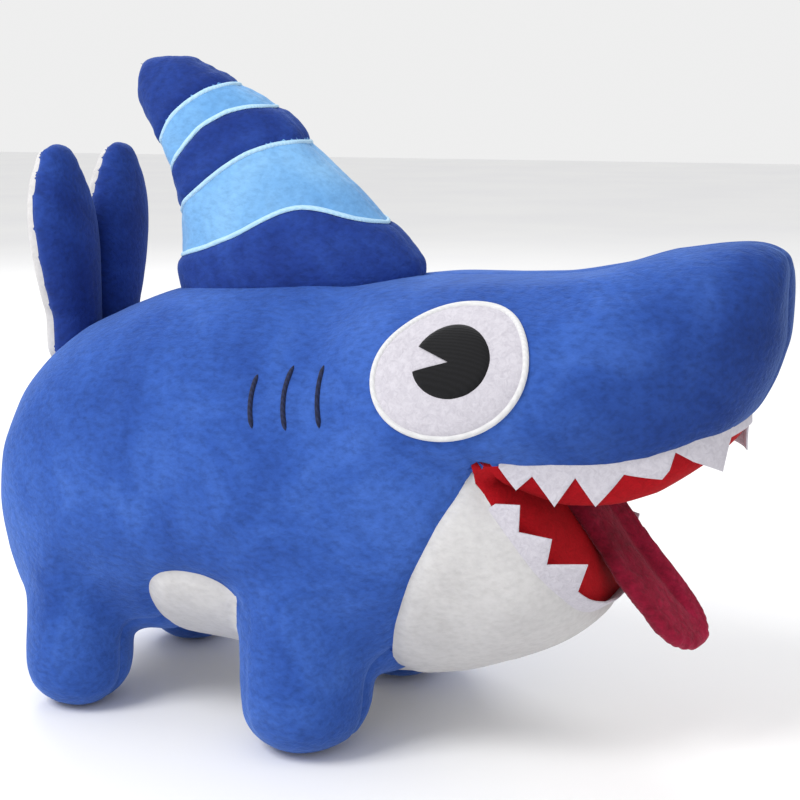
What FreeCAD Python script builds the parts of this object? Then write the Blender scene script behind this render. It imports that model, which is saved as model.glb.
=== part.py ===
"""Stuffed plush shark standing on four stubby legs, with its mouth wide open.

Millimetres. +Z is up, the shark faces -Y and its right side is on -X.
The origin is under the middle of its bounding box, on the surface it stands on.
Sewn covers are shells of plush cloth, and each stuffed pocket has its own filling.
"""
import FreeCAD, Part
import math
import os
from FreeCAD import Vector

os.makedirs("parts", exist_ok=True)

# ---- driving dimensions -------------------------------------------------
PLUSH = 2.5            # thickness of the plush cloth with its pile
FELT = 1.6             # thickness of the felt of eyes, teeth and mouth
THREAD = 0.9           # height of the embroidery above what it is sewn on
FILL_GAP = 0.3         # room between a cover and its filling
LINING_GAP = 0.15      # room between the mouth's felt and the plush round it
ROUNDNESS = 2.5        # exponent of the body's rounded cross-sections
RING_POINTS = 16       # points on each cross-section
FAR = 400              # further than any part of the shark from its middle

# cross-sections: y, lowest z, highest z, half width
TORSO = [(155, 57, 95, 26), (151, 35, 119, 44), (140, 26, 138, 56), (118, 23.5, 154, 63),
         (82, 25, 167, 66), (42, 25, 172, 66.5), (8, 22, 171.5, 65), (-26, 23.5, 164, 58),
         (-52, 30, 147, 52), (-76, 41, 119, 46), (-91, 52, 92, 33), (-97, 59, 77, 19)]
HEAD = [(44, 107, 153, 42), (10, 101, 165, 53), (-24, 97, 175, 60.5), (-54, 97, 176, 59.5),
        (-78, 101, 177.5, 54.5), (-104, 105, 183, 46), (-124, 110, 189.5, 37), (-137, 123, 193, 29.5),
        (-146.5, 140, 194, 21.5), (-152.5, 157, 190.5, 13.5), (-155, 166, 184, 8)]

# legs, as turned shapes: centres, radii and the flat sole
LEG_X = 43
LEG_Y = {"front": 11, "rear": 117}
LEG_RADIUS = {"front": 27, "rear": 22.5}
SOLE_RADIUS = {"front": 13, "rear": 11.5}
HIP_RADIUS = 18
ANKLE_HEIGHT = 22
KNEE_HEIGHT = 48
LEG_TOP = 92

# mouth: a wedge that opens forward from the throat
THROAT = (-62.5, 116)
PALATE_RISE = 1.5      # degrees above level, up to the bend
PALATE_BEND = 47       # distance from the throat at which the palate turns up
SNOUT_RISE = 22        # degrees above level, in front of the bend
FLOOR_DROP = 54        # degrees below level
MOUTH_REACH = 130

# seam between the blue sides and the white underside: (y, z) from the lip to the tail
CHIN_SEAM = [(-63, 116), (-47.5, 94.5), (-38, 74), (-30, 54), (-24, 37)]
BELLY_SEAM_Z = 67
BELLY_FRONT = 27
BELLY_REAR = 75
REAR_SEAM = (134, 43)
GROIN_X = 21           # half width of the white strip between the legs
LEG_SEAM_Z = 42        # top of the inner leg panels
LEG_REACH = 6          # how far the inner leg panels reach behind the rear seam
BELLY_LOW = 21.5       # just under the lowest line of the belly

# fin, stacked sections: z, foremost y, rearmost y, thickness
FIN = [(163, -26, 87, 44), (177, -19, 87.5, 43), (193, -5, 88, 40), (208, 10, 91, 36),
       (223, 27, 97, 30), (238, 44, 105, 23), (250, 66, 107.5, 16), (257, 82, 103, 9),
       (259.5, 88, 99, 4)]
FIN_HINGE = ((-22, 178.2), (88, 169.2))      # (y, z) of both ends of the base seam
TROUGH = 60            # reach of the room cut under the fin and the tail lobes
FIN_ROOM = 19          # slope of the fin's underside, so that it clears the back when it leans
# seams between the fin's bands: three (y, z) points of an arc each, from low to high
FIN_SEAMS = [[(-30, 190), (24, 200), (110, 168)], [(0, 223), (48, 221), (110, 172)],
             [(14, 234), (60, 234.5), (110, 184)], [(36, 247), (72, 245), (112, 190)]]

# tail lobes, stacked sections: z, middle |x|, half width, thickness
TAIL = [(142, 11.5, 10, 16), (152, 13, 11.5, 18.5), (168, 15.5, 14, 21), (185, 17.5, 16, 21.5),
        (201, 19.5, 15, 18.5), (214, 20.7, 10.5, 13), (221, 21, 6, 8), (224, 21, 2.5, 3.5)]
TAIL_HINGE = (134, 150)
TAIL_ROOM = 37
TAIL_GAP = 1.2         # half the room between the lobes

# tongue: a flat rounded flap that hangs over the lower lip
TONGUE_ROOT = (-71.5, 111)
TONGUE_DROP = 48.7
TONGUE_X = 4
TONGUE_HALF_WIDTH = 18.5
TONGUE_LENGTH = 82.4
TONGUE_THICK = 8
TONGUE_CLOTH = 2

# eyes: an oval of felt with a round pupil that has a notch towards the tail
EYE = (-51.2, 149)      # (y, z) of its middle
EYE_X = -57            # where the cheek lies there
EYE_SIZE = (27.5, 22.5)
EYE_TILT = 12          # degrees that the oval faces upward
EYE_REACH = 40
PUPIL_RADIUS = 14.3
PUPIL_NOTCH = 40
NOTCH_START = 1.5

# gill strokes: middle y, lowest z, highest z, width, bow towards the tail
GILLS = [(21.5, 125.5, 143), (9, 125.5, 146.5), (-3, 127, 147.5)]
GILL_WIDTH = 2
GILL_BOW = 2

# teeth, from the corner of the mouth to its front: |x|, distance from the throat along
# the lip, and the height of the tooth between each two places
UPPER_LIP = [(49, 4), (47.5, 18.5), (43.5, 30.5), (37.5, 46), (28, 60), (14, 72), (0, 74.5)]
UPPER_HEIGHT = [9, 15, 15, 12, 12, 12]
LOWER_LIP = {"right": [(47, 8), (45, 22), (41, 35), (35, 48), (26.5, 57), (17.5, 61.5)],
             "left": [(47, 8), (45, 22), (41, 35), (35, 48), (26.5, 57)]}
LOWER_HEIGHT = [9, 12.5, 12.5, 12, 11]
TOOTH_BAND = 4.5
TOOTH_LIFT = 0.8       # how far the strips stand off the felt they are sewn to


# ---- basic shapes -------------------------------------------------------
def ring(points):
    """A smooth closed wire through the points."""
    curve = Part.BSplineCurve()
    curve.interpolate(points, PeriodicFlag=True)
    return Part.Wire(curve.toShape())


def power(value, exponent):
    return math.copysign(abs(value) ** exponent, value)


def rounded_section(y, low, high, half_width, grow):
    middle = (low + high) / 2
    half_height = (high - low) / 2 + grow
    points = []
    for i in range(RING_POINTS):
        turn = 2 * math.pi * i / RING_POINTS
        x = (half_width + grow) * power(math.cos(turn), 2 / ROUNDNESS)
        z = middle + half_height * power(math.sin(turn), 2 / ROUNDNESS)
        points.append(Vector(x, y, z))
    return ring(points)


def stuffed_form(table, grow):
    """The body form through a table of sections. Its first and last sections move out by grow."""
    wires = []
    last = len(table) - 1
    for i, (y, low, high, half_width) in enumerate(table):
        shift = grow if i == 0 else -grow if i == last else 0
        wires.append(rounded_section(y + shift, low, high, half_width, grow))
    return Part.makeLoft(wires, True)


def oval(centre, half_x, half_y):
    """A horizontal ellipse as a wire."""
    if half_x >= half_y:
        curve = Part.Ellipse(centre + Vector(half_x, 0, 0), centre + Vector(0, half_y, 0), centre)
    else:
        curve = Part.Ellipse(centre + Vector(0, half_y, 0), centre + Vector(-half_x, 0, 0), centre)
    return Part.Wire(curve.toShape())


def prism_x(points, low=-FAR, high=FAR):
    """A prism along X whose outline is given as (y, z) corners."""
    corners = [Vector(low, y, z) for y, z in points]
    face = Part.Face(Part.makePolygon(corners + corners[:1]))
    return face.extrude(Vector(high - low, 0, 0))


def box(low, high):
    size = [b - a for a, b in zip(low, high)]
    return Part.makeBox(size[0], size[1], size[2], Vector(*low))


def half_space_right():
    return box((-FAR, -FAR, -FAR), (0, FAR, FAR))


def half_space_left():
    return box((0, -FAR, -FAR), (FAR, FAR, FAR))


def whole(shape):
    """A boolean's result without needless seams, as one solid or a compound of solids."""
    clean = shape.removeSplitter()
    solids = [solid for solid in clean.Solids if solid.Volume > 1]
    return solids[0] if len(solids) == 1 else Part.makeCompound(solids)


def mirrored(shape):
    """The left-hand copy of a right-hand shape."""
    return shape.mirror(Vector(0, 0, 0), Vector(1, 0, 0))


def save(name, shape):
    shape = whole(shape)
    print(name, len(shape.Solids), shape.isValid(), round(shape.Volume))
    shape.exportStep("parts/" + name + ".step")


def save_pair(name, shape):
    """Saves a right-hand piece and its left-hand twin."""
    save(name + "_right", shape)
    save(name + "_left", mirrored(shape))


# ---- body, head and legs ------------------------------------------------
def leg(name, grow):
    """A stubby right leg turned about an upright axis, with a flat sole."""
    sole = SOLE_RADIUS[name] + grow
    ankle = LEG_RADIUS[name] + grow
    hip = HIP_RADIUS + grow
    base = -grow
    bend = Vector(sole + (ankle - sole) * 0.72, 0, base + (ANKLE_HEIGHT - base) * 0.32)
    start = Vector(sole, 0, base)
    end = Vector(ankle, 0, ANKLE_HEIGHT)
    corners = [end, Vector(ankle, 0, KNEE_HEIGHT), Vector(hip, 0, LEG_TOP), Vector(0, 0, LEG_TOP),
               Vector(0, 0, base), start]
    edges = [Part.Arc(start, bend, end).toShape()]
    for a, b in zip(corners, corners[1:]):
        edges.append(Part.LineSegment(a, b).toShape())
    turned = Part.Face(Part.Wire(edges)).revolve(Vector(0, 0, 0), Vector(0, 0, 1), 360)
    turned.translate(Vector(-LEG_X, LEG_Y[name], 0))
    return turned


def mouth_wedge(back_off):
    """The open mouth, pushed back into the body by back_off on both of its faces."""
    half_angle = math.radians((PALATE_RISE + FLOOR_DROP) / 2)
    middle = math.radians((PALATE_RISE - FLOOR_DROP) / 2)
    shift = back_off / math.sin(half_angle)
    y = THROAT[0] + shift * math.cos(middle)
    z = THROAT[1] - shift * math.sin(middle)
    rise = math.radians(PALATE_RISE)
    drop = math.radians(FLOOR_DROP)
    bend = (y - PALATE_BEND * math.cos(rise), z + PALATE_BEND * math.sin(rise))
    upper = (bend[0] - MOUTH_REACH, bend[1] + MOUTH_REACH * math.tan(math.radians(SNOUT_RISE)))
    lower = (y - MOUTH_REACH, z - MOUTH_REACH * math.tan(drop))
    return prism_x([(y, z), bend, upper, lower])


def head_and_torso(grow):
    return stuffed_form(TORSO, grow).fuse(stuffed_form(HEAD, grow))


def body_half(grow):
    """The right half of torso and head with both right legs, without the mouth."""
    form = head_and_torso(grow).common(half_space_right())
    for name in LEG_Y:
        form = form.fuse(leg(name, grow))
    return form


def underside():
    """The space that holds the white chin and belly: below the side seams, between the legs."""
    seam_y, seam_z = CHIN_SEAM[-1]
    chin = prism_x(CHIN_SEAM + [(seam_y, -FAR), (-FAR, -FAR), (-FAR, CHIN_SEAM[0][1])], high=0)
    between_legs = prism_x([(seam_y, seam_z), (seam_y, -FAR), (REAR_SEAM[0], -FAR), REAR_SEAM],
                           -GROIN_X, 0)
    waist = prism_x([(BELLY_FRONT, -FAR), (BELLY_FRONT, BELLY_SEAM_Z - 10),
                     (BELLY_FRONT + 9, BELLY_SEAM_Z), (BELLY_REAR - 8, BELLY_SEAM_Z),
                     (BELLY_REAR, BELLY_SEAM_Z - 10), (BELLY_REAR, -FAR)], high=0)
    return chin.fuse(between_legs).fuse(waist)


def inner_leg_space(name):
    """The half of a right leg that faces the left leg, below the belly."""
    low_y = CHIN_SEAM[-1][0] if name == "front" else BELLY_REAR
    high_y = BELLY_FRONT if name == "front" else REAR_SEAM[0] + LEG_REACH
    beside = box((-LEG_X, low_y, -FAR), (-GROIN_X, high_y, LEG_SEAM_Z))
    return beside.fuse(box((-GROIN_X, low_y, -FAR), (0, high_y, BELLY_LOW)))


def make_body():
    outer = body_half(0)
    shell = outer.cut(body_half(-PLUSH)).cut(mouth_wedge(0))
    inner_legs = {name: inner_leg_space(name) for name in LEG_Y}
    white = underside().cut(inner_legs["front"]).cut(inner_legs["rear"])
    belly = shell.common(white)
    save("belly_panel", belly.fuse(mirrored(belly)))
    side_panel = shell.cut(white)
    for name, space in inner_legs.items():
        save_pair("inner_leg_" + name, shell.common(space))
        side_panel = side_panel.cut(space)
    save_pair("side_panel", side_panel)


def make_filling():
    half = body_half(-PLUSH - FILL_GAP).cut(mouth_wedge(FELT + FILL_GAP))
    save("body_filling", half.fuse(mirrored(half)))


# ---- mouth --------------------------------------------------------------
def make_linings():
    inside = head_and_torso(-PLUSH - LINING_GAP)
    felt = inside.common(mouth_wedge(FELT)).cut(mouth_wedge(0))
    middle = math.radians((PALATE_RISE - FLOOR_DROP) / 2)
    y, z = THROAT
    far = (y - FAR * math.cos(middle), z + FAR * math.sin(middle))
    back = (y + FAR * math.cos(middle), z - FAR * math.sin(middle))
    above = prism_x([back, far, (far[0], FAR), (back[0], FAR)])
    save("palate_lining", felt.common(above))
    save("mouth_floor_lining", felt.cut(above))


def lip_point(x, distance, upper):
    """The place on the palate or the mouth's floor at a distance from the throat."""
    if not upper:
        turn = math.radians(-FLOOR_DROP)
        return Vector(x, THROAT[0] - distance * math.cos(turn), THROAT[1] + distance * math.sin(turn))
    near = min(distance, PALATE_BEND)
    far = distance - near
    rise, steep = math.radians(PALATE_RISE), math.radians(SNOUT_RISE)
    y = THROAT[0] - near * math.cos(rise) - far * math.cos(steep)
    return Vector(x, y, THROAT[1] + near * math.sin(rise) + far * math.sin(steep))


def tooth_plate(start, end, height, up):
    """One pointed tooth on its stretch of band, standing along up over the line start-end."""
    inward = (end - start).cross(up).normalize()
    if inward.x * (start.x + end.x) > 0:
        inward = -inward
    low_start, low_end = start + up * TOOTH_LIFT, end + up * TOOTH_LIFT
    outline = [low_start, low_end, end + up * TOOTH_BAND, (start + end) / 2 + up * height,
               start + up * TOOTH_BAND]
    face = Part.Face(Part.makePolygon(outline + outline[:1]))
    return face.extrude(inward * FELT)


def tooth_strip(lip, heights, side, upper):
    """A strip of teeth on one side of the mouth."""
    up = Vector(0, 0, -1)
    if not upper:
        turn = math.radians(FLOOR_DROP)
        up = Vector(0, -math.sin(turn), math.cos(turn))
    points = [lip_point(side * x, distance, upper) for x, distance in lip]
    strip = None
    for start, end, height in zip(points, points[1:], heights):
        plate = tooth_plate(start, end, height, up)
        strip = plate if strip is None else strip.fuse(plate)
    return strip


def make_teeth():
    upper = tooth_strip(UPPER_LIP, UPPER_HEIGHT, -1, True)
    save("upper_teeth", upper.fuse(tooth_strip(UPPER_LIP, UPPER_HEIGHT, 1, True)))
    for side, word in ((-1, "right"), (1, "left")):
        save("lower_teeth_" + word, tooth_strip(LOWER_LIP[word], LOWER_HEIGHT, side, False))


def tongue_flap(shrink):
    """The tongue laid level: root at the origin, tip towards -Y."""
    half = TONGUE_HALF_WIDTH - shrink
    thick = TONGUE_THICK / 2 - shrink
    length = TONGUE_LENGTH - shrink
    tip = length - half
    root_half = half * 0.85
    outline = [Part.LineSegment(Vector(root_half, 0, 0), Vector(half, -tip, 0)).toShape(),
               Part.Arc(Vector(half, -tip, 0), Vector(0, -length, 0), Vector(-half, -tip, 0)).toShape(),
               Part.LineSegment(Vector(-half, -tip, 0), Vector(-root_half, 0, 0)).toShape(),
               Part.LineSegment(Vector(-root_half, 0, 0), Vector(root_half, 0, 0)).toShape()]
    flap = Part.Face(Part.Wire(outline)).extrude(Vector(0, 0, 2 * thick))
    flap.translate(Vector(0, 0, -thick))
    root = Part.makeCylinder(thick, 2 * root_half, Vector(-root_half, 0, 0), Vector(1, 0, 0))
    return flap.fuse(root)


def hang_tongue(shape):
    hung = shape.copy()
    hung.rotate(Vector(0, 0, 0), Vector(1, 0, 0), TONGUE_DROP)
    hung.translate(Vector(TONGUE_X, TONGUE_ROOT[0], TONGUE_ROOT[1]))
    return hung


def make_tongue():
    cover = tongue_flap(0).cut(tongue_flap(TONGUE_CLOTH))
    above = box((-FAR, -FAR, 0), (FAR, FAR, FAR))
    save("tongue_top", hang_tongue(cover.common(above)))
    save("tongue_bottom", hang_tongue(cover.cut(above)))
    save("tongue_filling", hang_tongue(tongue_flap(TONGUE_CLOTH + FILL_GAP)))


# ---- face and gills -----------------------------------------------------
def through_cheek(outline):
    """A face in the eye's own plane, pushed out through the right side of the head."""
    solid = outline.extrude(Vector(0, 0, EYE_REACH))
    solid.rotate(Vector(0, 0, 0), Vector(0, 1, 0), -90 + EYE_TILT)
    inside = EYE_X + EYE_REACH / 2
    solid.translate(Vector(inside, EYE[0], EYE[1] - EYE_REACH / 2 * math.tan(math.radians(EYE_TILT))))
    return solid


def make_eyes():
    """Outline coordinates: x is up the cheek, y is along the body."""
    skin = stuffed_form(HEAD, 0)
    felt = stuffed_form(HEAD, FELT)
    thread = stuffed_form(HEAD, FELT + THREAD)
    origin = Vector(0, 0, 0)
    oval_edge = Part.Ellipse(Vector(0, EYE_SIZE[0], 0), Vector(EYE_SIZE[1], 0, 0), origin)
    disc = Part.Face(Part.Wire(oval_edge.toShape()))
    round_edge = Part.Circle(origin, Vector(0, 0, 1), PUPIL_RADIUS)
    reach = PUPIL_RADIUS * 2
    spread = reach * math.tan(math.radians(PUPIL_NOTCH / 2))
    corners = [Vector(0, NOTCH_START, 0), Vector(spread, reach, 0), Vector(-spread, reach, 0)]
    notch = Part.Face(Part.makePolygon(corners + corners[:1]))
    pupil = Part.Face(Part.Wire(round_edge.toShape())).cut(notch).Faces[0]
    save_pair("eye_felt", felt.cut(skin).common(through_cheek(disc)))
    save_pair("pupil", thread.cut(felt).common(through_cheek(pupil)))


def gill_stroke(y, low, high):
    """A thin upright strip that bows towards the tail."""
    def arc(offset):
        ends = Vector(0, y + offset, low), Vector(0, y + offset, high)
        crown = Vector(0, y + offset + GILL_BOW, (low + high) / 2)
        return Part.Arc(ends[0], crown, ends[1]).toShape(), ends
    front, front_ends = arc(-GILL_WIDTH / 2)
    rear, rear_ends = arc(GILL_WIDTH / 2)
    top = Part.LineSegment(front_ends[1], rear_ends[1]).toShape()
    bottom = Part.LineSegment(rear_ends[0], front_ends[0]).toShape()
    return Part.Face(Part.Wire(Part.__sortEdges__([front, top, rear, bottom])))


def make_gills():
    skin = head_and_torso(0)
    thread = head_and_torso(THREAD)
    strokes = [gill_stroke(*row).extrude(Vector(-FAR, 0, 0)) for row in GILLS]
    save_pair("gill_stitches", thread.cut(skin).common(Part.makeCompound(strokes)))


# ---- fin ----------------------------------------------------------------
def fin_form(shrink):
    wires = []
    last = len(FIN) - 1
    for i, (z, front, rear, thick) in enumerate(FIN):
        half_x = max(thick / 2 - shrink, 0.6)
        half_y = max((rear - front) / 2 - shrink, 1.2)
        drop = shrink if i == last else 0
        wires.append(oval(Vector(0, (front + rear) / 2, z - drop), half_x, half_y))
    return Part.makeLoft(wires, True)


def fin_base_cut(lift):
    """What lies under the fin: a trough along its hinge that opens upward on both sides."""
    (y0, z0), (y1, z1) = FIN_HINGE
    slope = math.tan(math.radians(FIN_ROOM))
    half, deep, over = TROUGH, TROUGH, TROUGH
    fall = (z1 - z0) / (y1 - y0)
    outline = [(0, lift), (half, lift + half * slope), (half, -deep), (-half, -deep),
               (-half, lift + half * slope)]
    start = y0 - over
    corners = [Vector(x, start, z0 - over * fall + z) for x, z in outline]
    face = Part.Face(Part.makePolygon(corners + corners[:1]))
    length = y1 - y0 + 2 * over
    return face.extrude(Vector(0, length, length * fall))


def under_seam(points):
    """Everything below one of the fin's band seams."""
    a, b, c = [Vector(-FAR, y, z) for y, z in points]
    corners = [c, Vector(-FAR, FAR, c.z), Vector(-FAR, FAR, 0), Vector(-FAR, -FAR, 0),
               Vector(-FAR, -FAR, a.z), a]
    edges = [Part.Arc(a, b, c).toShape()]
    for start, end in zip(corners, corners[1:]):
        edges.append(Part.LineSegment(start, end).toShape())
    return Part.Face(Part.Wire(edges)).extrude(Vector(2 * FAR, 0, 0))


def make_fin():
    shell = fin_form(0).cut(fin_form(PLUSH)).cut(fin_base_cut(0))
    below = None
    for i in range(len(FIN_SEAMS) + 1):
        band = shell
        if i < len(FIN_SEAMS):
            space = under_seam(FIN_SEAMS[i])
            band = band.common(space)
        if below is not None:
            band = band.cut(below)
        below = space
        save("fin_band_%d_right" % (i + 1), band.common(half_space_right()))
        save("fin_band_%d_left" % (i + 1), band.common(half_space_left()))
    save("fin_filling", fin_form(PLUSH + FILL_GAP).cut(fin_base_cut(0)))


# ---- tail ---------------------------------------------------------------
def tail_form(side, shrink):
    wires = []
    last = len(TAIL) - 1
    for i, (z, middle, half_width, thick) in enumerate(TAIL):
        half_x = max(half_width - shrink, 1)
        half_y = max(thick / 2 - shrink, 0.6)
        drop = shrink if i == last else 0
        wires.append(oval(Vector(side * middle, TAIL_HINGE[0], z - drop), half_x, half_y))
    return Part.makeLoft(wires, True)


def tail_base_cut():
    """What lies under the lobes, as a trough along their common hinge."""
    y, z = TAIL_HINGE
    rise = TROUGH * math.tan(math.radians(TAIL_ROOM))
    return prism_x([(y, z), (y + TROUGH, z + rise), (y + TROUGH, z - TROUGH),
                    (y - TROUGH, z - TROUGH), (y - TROUGH, z + rise)])


def make_tail():
    rear = box((-FAR, TAIL_HINGE[0], 0), (FAR, FAR, FAR))
    for side, word in ((-1, "right"), (1, "left")):
        gap = box((-TAIL_GAP, -FAR, 0), (TAIL_GAP, FAR, FAR))
        shell = tail_form(side, 0).cut(tail_form(side, PLUSH)).cut(tail_base_cut()).cut(gap)
        save("tail_front_" + word, shell.cut(rear))
        save("tail_back_" + word, shell.common(rear))
        fill = tail_form(side, PLUSH + FILL_GAP).cut(tail_base_cut())
        save("tail_filling_" + word, fill.cut(gap))


make_tail()
make_fin()
make_tongue()
make_teeth()
make_linings()
make_gills()
make_eyes()
make_body()
make_filling()
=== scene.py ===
"""Looks of the plush shark: sewn plush skins, felt mouth and teeth, embroidery and a terry tongue.

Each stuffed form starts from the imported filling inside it, swollen out to the face of its cover,
puffed up by cloth simulation and cut along its seams into the panels it is sewn from.
Everything is in metres in the row frame. MM turns millimetres into metres.
"""
import math

import bmesh
import bpy
import numpy as np
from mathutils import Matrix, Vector, noise
from mathutils.bvhtree import BVHTree


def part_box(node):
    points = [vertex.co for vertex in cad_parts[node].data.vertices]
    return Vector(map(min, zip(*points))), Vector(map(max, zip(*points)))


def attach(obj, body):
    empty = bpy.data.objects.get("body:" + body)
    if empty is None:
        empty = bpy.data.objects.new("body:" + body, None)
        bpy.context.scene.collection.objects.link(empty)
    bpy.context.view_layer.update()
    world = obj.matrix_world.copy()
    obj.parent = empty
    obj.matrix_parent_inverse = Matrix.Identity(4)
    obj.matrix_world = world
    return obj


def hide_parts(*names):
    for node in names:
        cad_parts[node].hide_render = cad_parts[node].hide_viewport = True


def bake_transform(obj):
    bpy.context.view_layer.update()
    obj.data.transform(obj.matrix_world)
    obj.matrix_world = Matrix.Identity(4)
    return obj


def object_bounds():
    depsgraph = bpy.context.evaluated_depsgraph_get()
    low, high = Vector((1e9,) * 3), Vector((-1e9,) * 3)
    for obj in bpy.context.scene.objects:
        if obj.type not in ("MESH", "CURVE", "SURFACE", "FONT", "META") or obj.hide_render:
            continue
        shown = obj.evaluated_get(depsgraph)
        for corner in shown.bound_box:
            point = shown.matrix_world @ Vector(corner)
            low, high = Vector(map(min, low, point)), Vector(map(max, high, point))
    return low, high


MM = 0.001
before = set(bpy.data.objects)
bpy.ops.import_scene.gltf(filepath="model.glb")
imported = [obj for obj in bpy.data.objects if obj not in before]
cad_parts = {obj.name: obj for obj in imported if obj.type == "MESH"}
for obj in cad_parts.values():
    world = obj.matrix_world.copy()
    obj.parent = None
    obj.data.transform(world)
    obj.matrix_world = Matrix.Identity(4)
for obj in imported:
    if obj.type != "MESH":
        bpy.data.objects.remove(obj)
cad_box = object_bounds()

# ---- driving dimensions -------------------------------------------------
CLOTH = 2.0 * MM             # thickness of a plush panel
END_DRAW = 0.993             # how much shorter the sewn body is than its pattern
TO_FACE = 2.8 * MM           # from a filling's surface to the outside of its cover
SHRINK = 0.1                # share of the puffing by which a form starts smaller
BODY_VOXEL = 4.0 * MM
FIN_VOXEL = 3.0 * MM
TAIL_VOXEL = 2.6 * MM
TONGUE_VOXEL = 1.6 * MM

# seams of the white underside: the chin seam as (z, y) from the lip down
CHIN_SEAM = [(0.116, -0.0620), (0.110, -0.0567), (0.0946, -0.0474), (0.0738, -0.0375),
             (0.0533, -0.0293), (0.037, -0.0240), (0.015, -0.0215)]
WAIST_Y = (0.027, 0.0745)    # the white belly between the legs
WAIST_Z = 0.0668
WAIST_CORNER = 0.024
GROIN_X = 0.021
REAR_SEAM_Y = 0.134
LEG_SEAM_X = 0.043
LEGS = ((0.011, 0.0275), (0.117, 0.0235))    # y of each leg's axis, and its radius
LEG_SEAM_Z = 0.042

# the open mouth, in the plane of the side
THROAT = (-0.0625, 0.116)    # (y, z) where palate and mouth floor meet
PALATE_RISE = math.radians(1.5)
PALATE_BEND = 0.047          # distance from the throat at which the palate turns up
SNOUT_RISE = math.radians(22)
PALATE_BULGE = 0.013         # how far the stuffing pushes the palate down
FLOOR_DROP = math.radians(54)
LIP_EDGE = 1.0 * MM          # how far the red lining reaches up the upper lip
CHIN_EDGE = 5.5 * MM         # how far it reaches down over the lower lip
THROAT_ROOM = 0.003
# half the palate's width at distances ahead of the throat
PALATE_WIDTH = ((0.0, 0.0185, 0.0305, 0.0455, 0.060, 0.072, 0.080),
                (0.0485, 0.0465, 0.0430, 0.0370, 0.0275, 0.0155, 0.0035))

# seams between the fin's bands, as (y, z) from the front to the rear
FIN_SEAMS = [
    [(-0.012, 0.1935), (-0.001, 0.1953), (0.0075, 0.1968), (0.016, 0.1992), (0.0235, 0.2003),
     (0.031, 0.1987), (0.039, 0.1948), (0.050, 0.1892), (0.065, 0.1838), (0.079, 0.1803),
     (0.100, 0.176)],
    [(0.010, 0.2250), (0.0316, 0.2256), (0.0392, 0.2245), (0.048, 0.2214), (0.0558, 0.2168),
     (0.0672, 0.2090), (0.080, 0.2008), (0.100, 0.189)],
    [(0.025, 0.2375), (0.0438, 0.2376), (0.0514, 0.2370), (0.0585, 0.2352), (0.0684, 0.2299),
     (0.0752, 0.2230), (0.0845, 0.2139), (0.100, 0.200)],
    [(0.045, 0.2480), (0.0616, 0.2478), (0.0691, 0.2454), (0.0767, 0.2408), (0.0849, 0.2344),
     (0.0919, 0.2246), (0.105, 0.208)]]
FIN_HINGE = ((-0.022, 0.1782), (0.088, 0.1692))
FIN_ROOM_SLOPE = math.tan(math.radians(19))
FIN_SUNK = 0.022             # how far the fin's sewn base reaches into the back

TAIL_HINGE = (0.134, 0.150)
TAIL_SEAM_Y = 0.1365
TAIL_ROOM_SLOPE = math.tan(math.radians(37))
TAIL_SUNK = 0.014

TONGUE_ROOT = (-0.0715, 0.111)
TONGUE_DROP = math.radians(48.7)
TONGUE_X = 0.004
TONGUE_LENGTH = 0.0824
TONGUE_FOLD = math.radians(13)
TONGUE_TWIST = math.radians(22)
FAR_EDGE_DRAW = 0.50         # how much the tongue's left half is drawn in
TONGUE_STRETCH = 0.06        # how much longer the sewn tongue is than its filling

# outline of the teeth of the right side, in millimetres: distance along the lip from the
# corner of the mouth, and height above the lip
UPPER_TEETH = [(3.5, 0.6), (9.5, 8), (15, 3), (22.5, 13.5), (29.5, 3.5), (36, 13.5), (45.5, 3.5),
               (57.5, 8.2), (60.5, 6), (63.5, 0.8), (69, 6), (79.5, 13), (85.5, 3)]
LOWER_TEETH = [(0, 2), (4.9, 9.8), (12.4, 3.4), (20.3, 12.2), (27.2, 4.3), (34.6, 16.5),
               (42.7, 5.4), (56, 6)]
LEFT_LOWER_TEETH = 0.6       # height of the left ones, as a share of the right ones'
TOOTH_OUT = 0.3 * MM
TOOTH_TUCK = 2.2 * MM        # how far the strips reach behind the lip's seam

# eyes: (y, z) of the middle, half sizes and tilt of the white oval, and the round pupil in it
EYE = (-0.0512, 0.1487)
EYE_SIZE = (0.0270, 0.0212)
EYE_TILT = math.radians(11)
PUPIL = (-0.0524, 0.1523)
PUPIL_SIZE = (0.0143, 0.0120)
PUPIL_NOTCH = (math.radians(-19), math.radians(21))
NOTCH_START = 0.5 * MM
FELT = 1.2 * MM
BORDER = 1.1 * MM

# gill strokes: (y, z) of the lower end, the middle and the upper end
GILLS = [[(0.0203, 0.1252), (0.0230, 0.1345), (0.0225, 0.1432)],
         [(0.0076, 0.1252), (0.0110, 0.1360), (0.0097, 0.1468)],
         [(-0.0042, 0.1265), (-0.0016, 0.1372), (-0.0026, 0.1478)]]
GILL_WIDTH = 1.9 * MM

# ---- mesh tools ---------------------------------------------------------
def read_mesh(mesh):
    """A mesh's points and triangles as arrays."""
    points = np.zeros(len(mesh.vertices) * 3)
    mesh.vertices.foreach_get("co", points)
    mesh.calc_loop_triangles()
    corners = np.zeros(len(mesh.loop_triangles) * 3, int)
    mesh.loop_triangles.foreach_get("vertices", corners)
    return points.reshape(-1, 3), corners.reshape(-1, 3)


def make_object(name, points, faces, smooth=True):
    mesh = bpy.data.meshes.new(name)
    mesh.from_pydata(np.asarray(points).tolist(), [], [list(map(int, f)) for f in faces])
    mesh.validate()
    mesh.update()
    obj = bpy.data.objects.new(name, mesh)
    bpy.context.scene.collection.objects.link(obj)
    if smooth:
        mesh.shade_smooth()
        mesh.set_sharp_from_angle(angle=math.radians(55))
    return obj


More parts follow.
